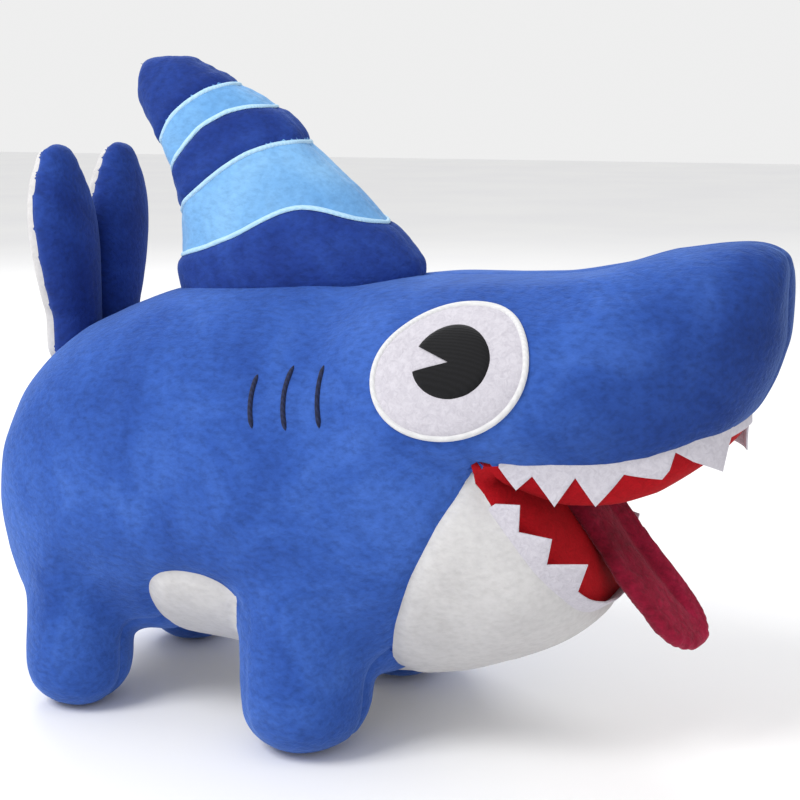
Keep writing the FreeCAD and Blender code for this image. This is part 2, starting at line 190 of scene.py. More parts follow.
def settle(obj):
    """Applies an object's modifiers."""
    graph = bpy.context.evaluated_depsgraph_get()
    mesh = bpy.data.meshes.new_from_object(obj.evaluated_get(graph))
    obj.modifiers.clear()
    obj.data = mesh
    return obj


def discard(obj):
    mesh = obj.data
    bpy.data.objects.remove(obj)
    bpy.data.meshes.remove(mesh)


def point_normals(points, triangles):
    a, b, c = (points[triangles[:, k]] for k in range(3))
    face = np.cross(b - a, c - a)
    normals = np.zeros_like(points)
    for axis in range(3):
        for corner in range(3):
            normals[:, axis] += np.bincount(triangles[:, corner], face[:, axis], len(points))
    return normals / (np.linalg.norm(normals, axis=1, keepdims=True) + 1e-12)


def edges_of(triangles):
    pairs = np.sort(np.concatenate([triangles[:, [0, 1]], triangles[:, [1, 2]],
                                    triangles[:, [2, 0]]]), axis=1)
    return np.unique(pairs, axis=0)


def relax(points, triangles, rounds, weight=1.0, shrink_back=True):
    """Evens out the surface. With shrink_back it keeps its volume; weight says where and how much."""
    pairs = edges_of(triangles)
    count = np.bincount(pairs.ravel(), minlength=len(points))[:, None]
    weight = np.broadcast_to(np.asarray(weight, float), len(points))[:, None]
    steps = (0.5, -0.53) if shrink_back else (0.5,)
    for _ in range(rounds):
        for step in steps:
            total = np.zeros_like(points)
            for axis in range(3):
                total[:, axis] += np.bincount(pairs[:, 0], points[pairs[:, 1], axis], len(points))
                total[:, axis] += np.bincount(pairs[:, 1], points[pairs[:, 0], axis], len(points))
            points = points + step * weight * (total / np.maximum(count, 1) - points)
    return points


def split_along(points, triangles, value):
    """Cuts the triangles along the line where value is zero.
    Returns the new mesh and the seam as chains of points."""
    value = np.where(value == 0, 1e-9, value)
    side = value > 0
    pairs = edges_of(triangles)
    crossing = pairs[side[pairs[:, 0]] != side[pairs[:, 1]]]
    if len(crossing) == 0:
        return points, triangles, []
    a, b = crossing[:, 0], crossing[:, 1]
    share = np.clip(value[a] / (value[a] - value[b]), 0.08, 0.92)[:, None]
    key = {(int(i), int(j)): len(points) + k for k, (i, j) in enumerate(crossing)}
    mixed = side[triangles].any(1) & ~side[triangles].all(1)
    extra = []
    links = {}
    for tri in triangles[mixed]:
        signs = side[tri]
        lone = int(np.argmax(signs)) if signs.sum() == 1 else int(np.argmin(signs))
        i, j, k = (int(tri[(lone + n) % 3]) for n in range(3))
        ij, ik = key[min(i, j), max(i, j)], key[min(i, k), max(i, k)]
        extra += [(i, ij, ik), (ij, j, k), (ij, k, ik)]
        links.setdefault(ij, []).append(ik)
        links.setdefault(ik, []).append(ij)
    triangles = np.concatenate([triangles[~mixed], np.array(extra)])
    points = np.concatenate([points, points[a] * (1 - share) + points[b] * share])
    return points, triangles, chains_of(links)


def chains_of(links):
    """Follows linked points from one to the next. A closed chain ends where it starts."""
    chains = []
    unused = set(links)
    for start in [i for i in links if len(links[i]) == 1] + list(links):
        if start not in unused:
            continue
        chain = [start]
        unused.discard(start)
        while ahead := [j for j in links[chain[-1]] if j in unused]:
            chain.append(ahead[0])
            unused.discard(ahead[0])
        if len(chain) > 2 and start in links[chain[-1]]:
            chain.append(start)
        chains.append(chain)
    return [chain for chain in chains if len(chain) > 6]


def panel(name, points, normals, triangles, chosen, thickness=CLOTH):
    """A closed piece of cloth: the chosen triangles, their back face and the edge between them."""
    tris = triangles[chosen]
    used = np.unique(tris)
    index = np.full(len(points), -1)
    index[used] = np.arange(len(used))
    outer = index[tris]
    count = len(used)
    directed = np.concatenate([outer[:, [0, 1]], outer[:, [1, 2]], outer[:, [2, 0]]])
    known = set(map(tuple, directed.tolist()))
    rim = [(j, i, i + count, j + count) for i, j in known if (j, i) not in known]
    inner = outer[:, ::-1] + count
    both = np.concatenate([points[used], points[used] - normals[used] * thickness])
    return make_object(name, both, list(outer) + list(inner) + sorted(rim))


def bumpy(points, size, seed):
    """Smooth noise from -1 to 1 at each point, with lumps of about the given size."""
    shift = Vector((seed * 3.1, seed * 7.7, seed * 1.3))
    return np.array([noise.noise(Vector(p) / size + shift) for p in points])


def falloff(distance, width):
    return np.exp(-(distance / width) ** 2)


# ---- stuffed forms ------------------------------------------------------
def voxel_skin(points, triangles, voxel):
    """An even closed skin round a closed mesh."""
    obj = make_object("work", points, triangles, smooth=False)
    remesh = obj.modifiers.new("remesh", "REMESH")
    remesh.mode = "VOXEL"
    remesh.voxel_size = voxel
    settle(obj)
    return obj


def puff(obj, cap):
    """Blows the skin up a little as filling does, moving no point further than cap."""
    start, _ = read_mesh(obj.data)
    scene = bpy.context.scene
    cloth = obj.modifiers.new("cloth", "CLOTH")
    cloth.settings.use_pressure = True
    cloth.settings.uniform_pressure_force = 4
    cloth.settings.effector_weights.gravity = 0
    cloth.settings.quality = 4
    cloth.point_cache.frame_start = 1
    cloth.point_cache.frame_end = 20
    for step in range(1, 21):
        scene.frame_set(step)
    settle(obj)
    scene.frame_set(1)
    end, _ = read_mesh(obj.data)
    move = end - start
    length = np.linalg.norm(move, axis=1, keepdims=True)
    move *= np.minimum(1, cap / np.maximum(length, 1e-9))
    obj.data.vertices.foreach_set("co", (start + move).ravel())
    obj.data.update()


def stuffed(node, voxel, to_face, rounds, cap, sink_base=None, shape=None, hold=None):
    """A stuffed form's outer skin as points and triangles, from the filling that it holds.
    sink_base moves the points of the sewn end into the body. shape works on the skin before
    it is puffed up, and hold keeps its points in their room afterwards."""
    points, triangles = read_mesh(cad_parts[node].data)
    if sink_base:
        points = sink_base(points)
    obj = voxel_skin(points, triangles, voxel)
    points, triangles = read_mesh(obj.data)
    swell = to_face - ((cap * SHRINK))
    points = points + point_normals(points, triangles) * swell
    points = relax(points, triangles, rounds)
    if shape:
        points = shape(points, triangles)
    obj.data.vertices.foreach_set("co", points.ravel())
    obj.data.update()
    puff(obj, cap)
    smooth = obj.modifiers.new("subdivision", "SUBSURF")
    smooth.levels = 1
    smooth.render_levels = 1
    settle(obj)
    points, triangles = read_mesh(obj.data)
    discard(obj)
    if hold:
        points = hold(points)
    return points, triangles


# ---- materials ----------------------------------------------------------
class Look:
    """Builds one procedural material, a node at a time."""

    def __init__(self, name, roughness, sheen=0.0, sheen_tint=(1, 1, 1)):
        self.material = bpy.data.materials.new(name)
        self.material.use_nodes = True
        self.tree = self.material.node_tree
        self.shader = self.tree.nodes["Principled BSDF"]
        self.set(self.shader, "Roughness", roughness)
        self.set(self.shader, "Sheen Weight", sheen)
        self.set(self.shader, "Sheen Roughness", 0.45)
        self.set(self.shader, "Sheen Tint", (*sheen_tint, 1))
        self.set(self.shader, "Specular IOR Level", 0.2)
        self.place = self.tree.nodes.new("ShaderNodeTexCoord").outputs["Object"]
        self.normal = None

    def set(self, node, socket, value):
        node.inputs[socket].default_value = value

    def join(self, source, node, socket):
        self.tree.links.new(source, node.inputs[socket])

    def stretched(self, scale, turn=(0, 0, 0)):
        node = self.tree.nodes.new("ShaderNodeMapping")
        self.set(node, "Scale", scale)
        self.set(node, "Rotation", turn)
        self.join(self.place, node, "Vector")
        return node.outputs["Vector"]

    def cloud(self, scale, detail=3, roughness=0.55, vector=None, distortion=0.0):
        node = self.tree.nodes.new("ShaderNodeTexNoise")
        self.set(node, "Scale", scale)
        self.set(node, "Detail", detail)
        self.set(node, "Roughness", roughness)
        self.set(node, "Distortion", distortion)
        self.join(vector or self.place, node, "Vector")
        return node.outputs["Fac"]

    def across(self, direction, start):
        """Grows along a direction, given per metre, from zero at start."""
        dot = self.tree.nodes.new("ShaderNodeVectorMath")
        dot.operation = "DOT_PRODUCT"
        self.join(self.place, dot, 0)
        self.set(dot, 1, direction)
        add = self.tree.nodes.new("ShaderNodeMath")
        self.join(dot.outputs["Value"], add, 0)
        self.set(add, 1, start)
        return add.outputs["Value"]

    def ramp(self, source, stops):
        node = self.tree.nodes.new("ShaderNodeValToRGB")
        ramp = node.color_ramp
        while len(ramp.elements) < len(stops):
            ramp.elements.new(0.5)
        for element, (place, colour) in zip(ramp.elements, stops):
            element.position = place
            element.color = (*colour, 1)
        self.join(source, node, "Fac")
        return node.outputs["Color"]

    def mix(self, share, first, second, kind="MIX"):
        node = self.tree.nodes.new("ShaderNodeMix")
        node.data_type = "RGBA"
        node.blend_type = kind
        if isinstance(share, float):
            node.inputs[0].default_value = share
        else:
            self.tree.links.new(share, node.inputs[0])
        for index, value in ((6, first), (7, second)):
            if isinstance(value, tuple):
                node.inputs[index].default_value = (*value, 1)
            else:
                self.tree.links.new(value, node.inputs[index])
        return node.outputs[2]

    def bump(self, height, distance, strength=1.0):
        node = self.tree.nodes.new("ShaderNodeBump")
        self.set(node, "Strength", strength)
        self.set(node, "Distance", distance)
        self.join(height, node, "Height")
        if self.normal:
            self.join(self.normal, node, "Normal")
        self.normal = node.outputs["Normal"]

    def colour(self, source):
        self.join(source, self.shader, "Base Color")

    def done(self):
        if self.normal:
            self.join(self.normal, self.shader, "Normal")
        return self.material


def plush_look(name, dark, middle, light, nap=1.0, sheen=0.5, tint=(1, 1, 1), painted_snout_shade=0.0):
    """Short pile: brushed patches, leaning tufts a millimetre or two long and single fibres.
    The last argument paints shade on the low front of the body, darkening it toward the snout."""
    look = Look(name, 0.92, sheen, tint)
    patches = look.cloud(26, 5, 0.6, distortion=0.6)
    base = look.ramp(patches, [(0.32, dark), (0.5, middle), (0.68, light)])
    lean = look.stretched((1, 0.45, 0.8), (0.5, 0.3, 0.2))
    tufts = look.cloud(620, 3, 0.6, lean)
    shade = look.ramp(tufts, [(0.3, (0.62, 0.62, 0.62)), (0.55, (1, 1, 1)), (0.8, (1.25, 1.25, 1.25))])
    coat = look.mix(0.8 * nap, base, shade, "MULTIPLY")
    # painted shade: the colour darkens toward the low front of the snout
    if painted_snout_shade:
        toward_snout = look.across((0, -14, -8), 0.05)
        coat = look.mix(painted_snout_shade, coat, look.mix(1.0, coat, look.ramp(
            toward_snout, [(0.0, (1, 1, 1)), (1.0, (0.30, 0.34, 0.48))]), "MULTIPLY"))
    look.colour(coat)
    look.bump(patches, 1.2 * MM, 0.5)
    look.bump(tufts, 0.75 * MM, 0.85 * nap)
    look.bump(look.cloud(2600, 1, 0.5, lean), 0.2 * MM, 0.6 * nap)
    return look.done()


def felt_look(name, base, shade, sheen):
    """Pressed fibres with faint fluff."""
    look = Look(name, 0.95, sheen)
    fibres = look.cloud(420, 5, 0.7, distortion=1.2)
    look.colour(look.ramp(fibres, [(0.3, shade), (0.62, base)]))
    look.bump(fibres, 0.35 * MM, 0.8)
    look.bump(look.cloud(1800, 2), 0.12 * MM, 0.7)
    return look.done()


def thread_look(name, base, light, scale=330, turn=(0.6, 0, 0), roughness=0.6):
    """Rows of satin stitches."""
    look = Look(name, roughness, 0.15)
    rows = look.tree.nodes.new("ShaderNodeTexWave")
    look.set(rows, "Scale", scale)
    look.set(rows, "Distortion", 1.5)
    look.set(rows, "Detail", 2)
    look.join(look.stretched((1, 1, 1), turn), rows, "Vector")
    specks = look.cloud(1500, 2)
    look.colour(look.mix(specks, base, look.mix(rows.outputs["Fac"], base, light)))
    look.bump(rows.outputs["Fac"], 0.1 * MM, 0.6)
    look.bump(specks, 0.15 * MM, 0.6)
    return look.done()


LOOKS = {
    # the body's blue plush carries the painted shade toward the snout (last argument)
    "blue_plush": plush_look("blue plush", (0.018, 0.062, 0.29), (0.027, 0.085, 0.36),
                             (0.042, 0.115, 0.43), 0.8, 0.4, (0.3, 0.5, 1), 1.0),
    # a darker copy of the blue plush: painted shade for the fin's blue bands and the tail's fronts
    "painted_shade_blue_plush": plush_look("painted shade blue plush", (0.008, 0.026, 0.17), (0.012, 0.038, 0.22),
                                  (0.019, 0.056, 0.28), 0.8, 0.2, (0.3, 0.5, 1)),
    "light_blue_plush": plush_look("light blue plush", (0.12, 0.31, 0.60), (0.155, 0.36, 0.65),
                                   (0.20, 0.42, 0.70), 0.5, 0.2, (0.8, 0.9, 1)),
    "white_plush": plush_look("white plush", (0.50, 0.49, 0.49), (0.54, 0.53, 0.53),
                              (0.58, 0.57, 0.57), 0.3, 0.1),
    "crimson_plush": plush_look("crimson terry", (0.15, 0.003, 0.016), (0.25, 0.006, 0.030),
                                (0.35, 0.012, 0.052), 1.0, 0.2, (1, 0.4, 0.5)),
    "red_felt": felt_look("red felt", (0.42, 0.004, 0.010), (0.30, 0.002, 0.006), 0.0),
    "white_felt": felt_look("white felt", (0.57, 0.55, 0.60), (0.45, 0.43, 0.48), 0.05),
    "black_embroidery": thread_look("black thread", (0.004, 0.004, 0.005), (0.009, 0.009, 0.011), 420,
                                    roughness=0.8),
    "navy_embroidery": thread_look("navy thread", (0.004, 0.007, 0.03), (0.015, 0.025, 0.09)),
    "white_thread": thread_look("white thread", (0.60, 0.60, 0.61), (0.72, 0.72, 0.72)),
    "pale_thread": thread_look("pale blue thread", (0.36, 0.58, 0.76), (0.50, 0.70, 0.86), 400),
    "grey_thread": thread_look("grey thread", (0.10, 0.18, 0.27), (0.22, 0.33, 0.44)),
}


def finish_piece(obj, slot, look=None):
    """Gives a piece its material: the look's, or else the slot's."""
    obj.data.materials.clear()
    obj.data.materials.append(LOOKS[look or slot])
    return obj


# ---- body ---------------------------------------------------------------
def soft_hips(points, triangles):
    """Rounds the folds where the legs leave the body, and draws in the ends."""
    points[:, 1] = END_DRAW * points[:, 1]
    x, y, z = np.abs(points[:, 0]), points[:, 1], points[:, 2]
    weight = np.zeros(len(points))
    for leg in ("front", "rear"):
        low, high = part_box("inner_leg_" + leg + "_right")
        middle = (low[1] + high[1]) / 2
        away = np.sqrt((x - LEG_SEAM_X) ** 2 + (y - middle) ** 2)
        weight = np.maximum(weight, falloff(z - 0.058, 0.024) * falloff(away - 0.02, 0.032))
    crease = falloff(y + 0.03, 0.022) * (z > 0.06)
    weight = np.maximum(weight, 0.8 * crease)
    return relax(points, triangles, 26, weight, shrink_back=False)


def polyline(value, pairs):
    """The second of each pair at value, going smoothly through the pairs, which rise or fall."""
    keys = np.array(sorted(pairs))
    return np.interp(value, keys[:, 0], keys[:, 1])


def soft_max(a, b, width):
    top = np.maximum(a, b)
    near = np.clip(1 - np.abs(a - b) / width, 0, 1)
    return top + width * near ** 2 / 4


def soft_min(a, b, width):
    return -soft_max(-a, -b, width)


def white_side(points):
    """Above zero on the white underside, in metres from its seam."""
    x, y, z = np.abs(points[:, 0]), points[:, 1], points[:, 2]
    chin = polyline(z, CHIN_SEAM) - y
    middle_of_mouth = THROAT[1] + (THROAT[0] - y) * math.tan((PALATE_RISE - FLOOR_DROP) / 2)
    chin = np.minimum(chin, np.where(y < THROAT[0], middle_of_mouth - z, THROAT[1] - z))
    groin = soft_min(soft_min(GROIN_X - x, LEG_SEAM_Z - z, 0.01), REAR_SEAM_Y - y, 0.01)
    groin = np.minimum(groin, y + 0.05)
    waist = soft_min(soft_min(y - WAIST_Y[0], WAIST_Y[1] - y, 0.014), WAIST_Z - z, WAIST_CORNER)
    for leg_y, radius in LEGS:
        waist = np.minimum(waist, np.hypot(x - LEG_SEAM_X, y - leg_y) - radius)
    return soft_max(chin, soft_max(groin, waist, 0.01), 0.004)


def ahead_of_throat(points):
    return THROAT[0] - points[:, 1] / END_DRAW


def palate_height(points):
    """Metres above the palate, which turns up at the snout."""
    ahead = ahead_of_throat(points)
    near = THROAT[1] + ahead * math.tan(PALATE_RISE)
    bend_z = THROAT[1] + PALATE_BEND * math.tan(PALATE_RISE)
    far = bend_z + (ahead - PALATE_BEND) * math.tan(SNOUT_RISE)
    return points[:, 2] - soft_max(near, far, 0.004)


def floor_height(points):
    """Metres above the plane of the mouth's floor."""
    fall = THROAT[1] - ahead_of_throat(points) * math.tan(FLOOR_DROP)
    return (points[:, 2] - fall) * math.cos(FLOOR_DROP)


def bulging_palate(points, on_red):
    """Pushes the middle of the palate down, between the lips and ahead of the throat."""
    ahead = ahead_of_throat(points)
    half_width = np.interp(ahead, PALATE_WIDTH[0], PALATE_WIDTH[1])
    crown = np.clip(1 - (points[:, 0] / half_width) ** 6, 0, 1)
    crown = crown * np.clip((ahead - 0.003) / 0.022, 0, 1) * np.clip((0.080 - ahead) / 0.026, 0, 1)
    inside = (on_red > 0.05 * MM) & (np.abs(palate_height(points)) < floor_height(points))
    points = points.copy()
    points[:, 2] -= PALATE_BULGE * np.where(inside, np.sqrt(crown), 0)
    return points


def mouth_side(points):
    """Above zero on the red lining of the mouth."""
    inside = np.minimum(LIP_EDGE - palate_height(points), floor_height(points) + CHIN_EDGE)
    return np.minimum(inside, THROAT[0] + THROAT_ROOM - points[:, 1])


def leg_side(points):
    """Above zero on the inner halves of the legs."""
    return np.minimum(LEG_SEAM_X - np.abs(points[:, 0]), LEG_SEAM_Z - points[:, 2])


def sink(points, normals, distance, depth, width):
    """Draws the cloth in along a seam."""
    return points - normals * (depth * falloff(distance, width))[:, None]


def build_body():
    points, triangles = stuffed("body_filling", BODY_VOXEL, TO_FACE, 6, 2.2 * MM, shape=soft_hips)
    points, triangles, rim = split_along(points, triangles, mouth_side(points))
    for side in (white_side, leg_side):
        points, triangles, _ = split_along(points, triangles, side(points))
    points, triangles, _ = split_along(points, triangles, points[:, 0])
    middles = points[triangles].mean(1)
    red = mouth_side(middles) > 0
    white = (white_side(middles) > 0) & ~red
    inner = (leg_side(middles) > 0) & ~red & ~white & (middles[:, 1] > CHIN_SEAM[-1][1] - 0.001)
    blue = ~red & ~white & ~inner
    normals = point_normals(points, triangles)
    on_red = mouth_side(points)
    on_white = white_side(points)
    on_leg = leg_side(points)
    outside = on_red < 0
    points = bulging_palate(points, on_red)
    normals = point_normals(points, triangles)
    near_white = np.where(outside & (np.abs(on_white) < 0.012), on_white, 1)
    puckers = 1 + 0.35 * bumpy(points, 7 * MM, 5)
    points = sink(points, normals, near_white, 1.5 * MM, 2.2 * MM)
    points = points - normals * (0.9 * MM * puckers * falloff(near_white, 5 * MM))[:, None]
    near_leg = np.where(outside & (on_white < 0) & (points[:, 2] < LEG_SEAM_Z + 0.002), on_leg, 1)
    points = sink(points, normals, near_leg, 1.2 * MM, 1.8 * MM)
    top = outside & (on_white < -0.01) & (points[:, 2] > LEG_SEAM_Z)
    back_seam = np.where(top, points[:, 0], 1)
    points = sink(points, normals, back_seam, 0.9 * MM, 1.6 * MM)
    lumps = bumpy(points, 34 * MM, 1) * 0.9 * MM + bumpy(points, 15 * MM, 2) * 0.4 * MM
    points = points + normals * (lumps * outside)[:, None]
    normals = point_normals(points, triangles)
    right = middles[:, 0] < 0
    front = middles[:, 1] < 0.06
    palate = red & (np.abs(palate_height(middles)) < np.abs(floor_height(middles)))
    plan = [("side_panel_right", blue & right, "blue_plush"),
            ("side_panel_left", blue & ~right, "blue_plush"),
            ("belly_panel", white, "white_plush"),
            ("palate_lining", palate, "red_felt"),
            ("mouth_floor_lining", red & ~palate, "red_felt")]
    for where, along in (("front", front), ("rear", ~front)):
        for word, sided in (("right", right), ("left", ~right)):
            plan.append(("inner_leg_" + where + "_" + word, inner & along & sided, "blue_plush"))
    for name, chosen, slot in plan:
        piece = panel("skin_" + name, points, normals, triangles, chosen)
        finish_piece(piece, slot)
        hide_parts(name)
        if name == "belly_panel":
            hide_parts("body_filling")
        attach(piece, "torso")
    tree = BVHTree.FromPolygons(points.tolist(), triangles.tolist())
    return tree, points[max(rim, key=len)[:-1]]


body_skin, mouth_rim = build_body()


# ---- sewn-on forms ------------------------------------------------------
def curve_through(places, across):
    """Height of a smooth curve through (across, height) places."""
    keys = np.array(sorted(places))
    fine = np.linspace(keys[0, 0], keys[-1, 0], 160)
    height = np.interp(fine, keys[:, 0], keys[:, 1])
    soft = np.convolve(np.pad(height, 4, "edge"), np.ones(9) / 9, "valid")
    return np.interp(across, fine, soft)


def smooth_path(path, rounds, closed):
    for _ in range(rounds):
        if closed:
            path = (np.roll(path, 1, 0) + path * 2 + np.roll(path, -1, 0)) / 4
        else:
            path[1:-1] = (path[:-2] + path[1:-1] * 2 + path[2:]) / 4
    return path


def lengths_along(path):
    return np.concatenate([[0], np.cumsum(np.linalg.norm(np.diff(path[:, :3], axis=0), axis=1))])


def at_length(path, places):
    """The path's rows at distances along it."""
    along = lengths_along(path)
    return np.stack([np.interp(places, along, path[:, k]) for k in range(path.shape[1])], 1)


def even_path(path, step, closed):
    """The same path with its points a step apart."""
    if closed:
        path = np.concatenate([path, path[:1]])
    along = lengths_along(path)
    places = np.linspace(0, along[-1], max(int(along[-1] / step), 4) + 1)
    even = at_length(path, places)
    return even[:-1] if closed else even


def laid_cord(name, path, up, half_width, half_height, closed, sides=8, tapered=False):
    """A flattened cord lying on a surface along the path. up is the surface's normal at each point."""
    count = len(path)
    if closed:
        along = np.roll(path, -1, 0) - np.roll(path, 1, 0)
    else:
        along = np.gradient(path, axis=0)
    across = np.cross(along, up)
    across /= np.linalg.norm(across, axis=1, keepdims=True) + 1e-12
    up = up / np.linalg.norm(up, axis=1, keepdims=True)
    place = np.linspace(0, 1, count)
    size = np.ones(count)
    if tapered:
        size = np.clip(np.minimum(place, 1 - place) * 9, 0, 1) ** 0.5 * 0.9 + 0.1
    turn = np.arange(sides) * 2 * math.pi / sides
    rings = (path[:, None] + across[:, None] * (np.cos(turn)[None, :, None] * half_width * size[:, None, None])
             + up[:, None] * (np.sin(turn)[None, :, None] * half_height * size[:, None, None]))
    faces = []
    for i in range(count if closed else count - 1):
        j = (i + 1) % count
        for k in range(sides):
            n = (k + 1) % sides
            faces.append((i * sides + k, i * sides + n, j * sides + n, j * sides + k))
    if not closed:
        faces.append(tuple(range(sides - 1, -1, -1)))
        faces.append(tuple(range((count - 1) * sides, count * sides)))
    return make_object(name, rings.reshape(-1, 3), faces)


def seam_cord(name, points, normals, chain, out, shift, half_width, half_height):
    """A cord beside a seam: shifted across it and raised off the cloth."""
    closed = chain[0] == chain[-1]
    index = np.array(chain[:-1] if closed else chain)
    path, up = points[index], normals[index]
    path = smooth_path(path.copy(), 14, closed)
    up = smooth_path(up.copy(), 14, closed)
    along = np.roll(path, -1, 0) - np.roll(path, 1, 0) if closed else np.gradient(path, axis=0)
    across = np.cross(along, up)
    across /= np.linalg.norm(across, axis=1, keepdims=True) + 1e-12
    if across[:, 2].sum() < 0:
        across = -across
    up /= np.linalg.norm(up, axis=1, keepdims=True)
    both = even_path(np.concatenate([path + across * shift + up * out, up], 1), 1.2 * MM, closed)
    return laid_cord(name, both[:, :3], both[:, 3:], half_width, half_height, closed)


# ---- fin and tail -------------------------------------------------------
def fin_hinge_height(y):
    (y0, z0), (y1, z1) = FIN_HINGE
    return z0 + (y - y0) * (z1 - z0) / (y1 - y0)


def sink_fin_base(points):
    under = fin_hinge_height(points[:, 1]) + np.abs(points[:, 0]) * FIN_ROOM_SLOPE + 1 * MM
    base = points[:, 2] < under
    points[base, 2] = fin_hinge_height(points[base, 1]) - FIN_SUNK
    return points


def overhanging_base(points, triangles):
    """The fin's lowest band bulges over the back, and turns in at its seam."""
    above = points[:, 2] - fin_hinge_height(points[:, 1])
    bulge = 1.8 * MM * falloff(above - 0.003, 0.010) - 2.0 * MM * falloff(above + 0.012, 0.006)
    normals = point_normals(points, triangles)
    normals[:, 2] = 0
    return points + normals * bulge[:, None]


def band_number(points):
    """How many of the fin's seams a point is above."""
    return sum((points[:, 2] > curve_through(seam, points[:, 1])).astype(int) for seam in FIN_SEAMS)


def build_fin():
    points, triangles = stuffed("fin_filling", FIN_VOXEL, TO_FACE + 1 * MM, 5, 2 * MM, sink_fin_base,
                                overhanging_base)
    seams = []
    for seam in FIN_SEAMS:
        height = points[:, 2] - curve_through(seam, points[:, 1])
        points, triangles, chains = split_along(points, triangles, height)
        seams.append(max(chains, key=len))
    points, triangles, _ = split_along(points, triangles, points[:, 0])
    normals = point_normals(points, triangles)
    dark = 0
    for number, seam in enumerate(FIN_SEAMS):
        height = points[:, 2] - curve_through(seam, points[:, 1])
        dark_above = number % 2 == 1
        into_dark = height if dark_above else -height
        puffed = np.where(into_dark > 0, falloff(into_dark - 4 * MM, 3.5 * MM), 0)
        flat = np.where(into_dark <= 0, falloff(into_dark, 4 * MM), falloff(into_dark, 1.2 * MM))
        dark = dark + 0.6 * MM * puffed - 0.7 * MM * flat
    edge_seam = falloff(points[:, 0], 1.5 * MM) * 0.5 * MM
    points = points + normals * (dark - edge_seam)[:, None]
    points = points + normals * (bumpy(points, 18 * MM, 8) * 0.5 * MM)[:, None]
    normals = point_normals(points, triangles)
    middles = points[triangles].mean(1)
    band = band_number(middles)
    pieces = []
    for number in range(len(FIN_SEAMS) + 1):
        # the blue bands show the darker copy of the blue plush: painted shade
        slot, look = ("light_blue_plush", None) if number % 2 else ("blue_plush", "painted_shade_blue_plush")
        for word, sided in (("right", middles[:, 0] < 0), ("left", middles[:, 0] > 0)):
            name = "fin_band_%d_%s" % (number + 1, word)
            piece = panel("skin_" + name, points, normals, triangles, (band == number) & sided)
            finish_piece(piece, slot, look)
            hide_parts(name)
            pieces.append(piece)
    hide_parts("fin_filling")
    for number, chain in enumerate(seams):
        toward_light = 1 if number % 2 == 0 else -1
        edge = seam_cord("fin_piping_%d" % (number + 1), points, normals, chain, 0.3 * MM,
                         toward_light * 0.9 * MM, 1.0 * MM, 0.75 * MM)
        pieces.append(finish_piece(edge, "light_blue_plush", "pale_thread"))
        stitch = seam_cord("fin_stitches_%d" % (number + 1), points, normals, chain, -0.1 * MM,
                           toward_light * 2.5 * MM, 0.35 * MM, 0.45 * MM)
        pieces.append(finish_piece(stitch, "light_blue_plush", "grey_thread"))
    for piece in pieces:
        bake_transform(piece)


def sink_tail_base(points):
    y, z = TAIL_HINGE
    base = points[:, 2] < z + np.abs(points[:, 1] - y) * TAIL_ROOM_SLOPE + 1 * MM
    points[base, 2] = z - TAIL_SUNK
    return points


def build_tail():
    for side, word in ((-1, "right"), (1, "left")):
        def hold(points):
            points[:, 0] = side * soft_max(points[:, 0] * side, 0.5 * MM, 2 * MM)
            return points

        points, triangles = stuffed("tail_filling_" + word, TAIL_VOXEL, TO_FACE + 1.2 * MM, 4, 1.6 * MM,
                                    sink_tail_base, hold=hold)
        points, triangles, _ = split_along(points, triangles, points[:, 1] - TAIL_SEAM_Y)
        normals = point_normals(points, triangles)
        seam = falloff(points[:, 1] - TAIL_SEAM_Y, 1.6 * MM) * 0.9 * MM
        points = points - normals * seam[:, None]
        middles = points[triangles].mean(1)
        rear = middles[:, 1] > TAIL_SEAM_Y
        # the tail's front shows the darker copy of the blue plush: painted shade
        for part, chosen, slot, look in (("front", ~rear, "blue_plush", "painted_shade_blue_plush"),
                                         ("back", rear, "white_plush", None)):
            name = "tail_%s_%s" % (part, word)
            piece = panel("skin_" + name, points, normals, triangles, chosen)
            finish_piece(piece, slot, look)
            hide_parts(name)
            if part == "front":
                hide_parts("tail_filling_" + word)
            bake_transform(piece)


# ---- tongue -------------------------------------------------------------
def tongue_places(points):
    """Distances along the tongue from its root, across it from its middle, and above its plane."""
    y, z = points[:, 1] - TONGUE_ROOT[0], points[:, 2] - TONGUE_ROOT[1]
    along = -y * math.cos(TONGUE_DROP) - z * math.sin(TONGUE_DROP)
    above = z * math.cos(TONGUE_DROP) - y * math.sin(TONGUE_DROP)
    return along, points[:, 0] - TONGUE_X, above


def folded_tongue(points, triangles):
    """Lifts the tongue's sides and draws in the crease down its middle."""
    along, across, above = tongue_places(points)
    free = np.clip((along - 12 * MM) / (30 * MM), 0, 1)
    across = across * np.where(across > 0, 1 - FAR_EDGE_DRAW * free, 1)
    longer = TONGUE_STRETCH * np.clip(along, 0, None)
    points[:, 1] -= longer * math.cos(TONGUE_DROP)
    points[:, 2] -= longer * math.sin(TONGUE_DROP)
    lift = free * (np.sqrt(across ** 2 + (3 * MM) ** 2) - 6 * MM) * math.tan(TONGUE_FOLD)
    crease = free * falloff(across, 2.4 * MM) * np.where(above > 0, 1.6 * MM, -0.6 * MM)
    crease *= np.clip((TONGUE_LENGTH - 9 * MM - along) / (10 * MM), 0, 1)
    move = lift - crease
    twist = TONGUE_TWIST * np.clip((along - 6 * MM) / (40 * MM), 0, 1)
    height = above + move
    turned = across * np.cos(twist) - height * np.sin(twist)
    move = across * np.sin(twist) + height * np.cos(twist) - above
    points[:, 0] = TONGUE_X + turned
    points[:, 1] -= move * math.sin(TONGUE_DROP)
    points[:, 2] += move * math.cos(TONGUE_DROP)
    return points


def above_fold(points):
    """Above zero on the tongue's upper face."""
    along, across, above = tongue_places(points)
    twist = TONGUE_TWIST * np.clip((along - 6 * MM) / (40 * MM), 0, 1)
    flat_across = across * np.cos(twist) + above * np.sin(twist)
    height = above * np.cos(twist) - across * np.sin(twist)
    free = np.clip((along - 12 * MM) / (30 * MM), 0, 1)
    return height - free * (np.abs(flat_across) - 6 * MM) * math.tan(TONGUE_FOLD)


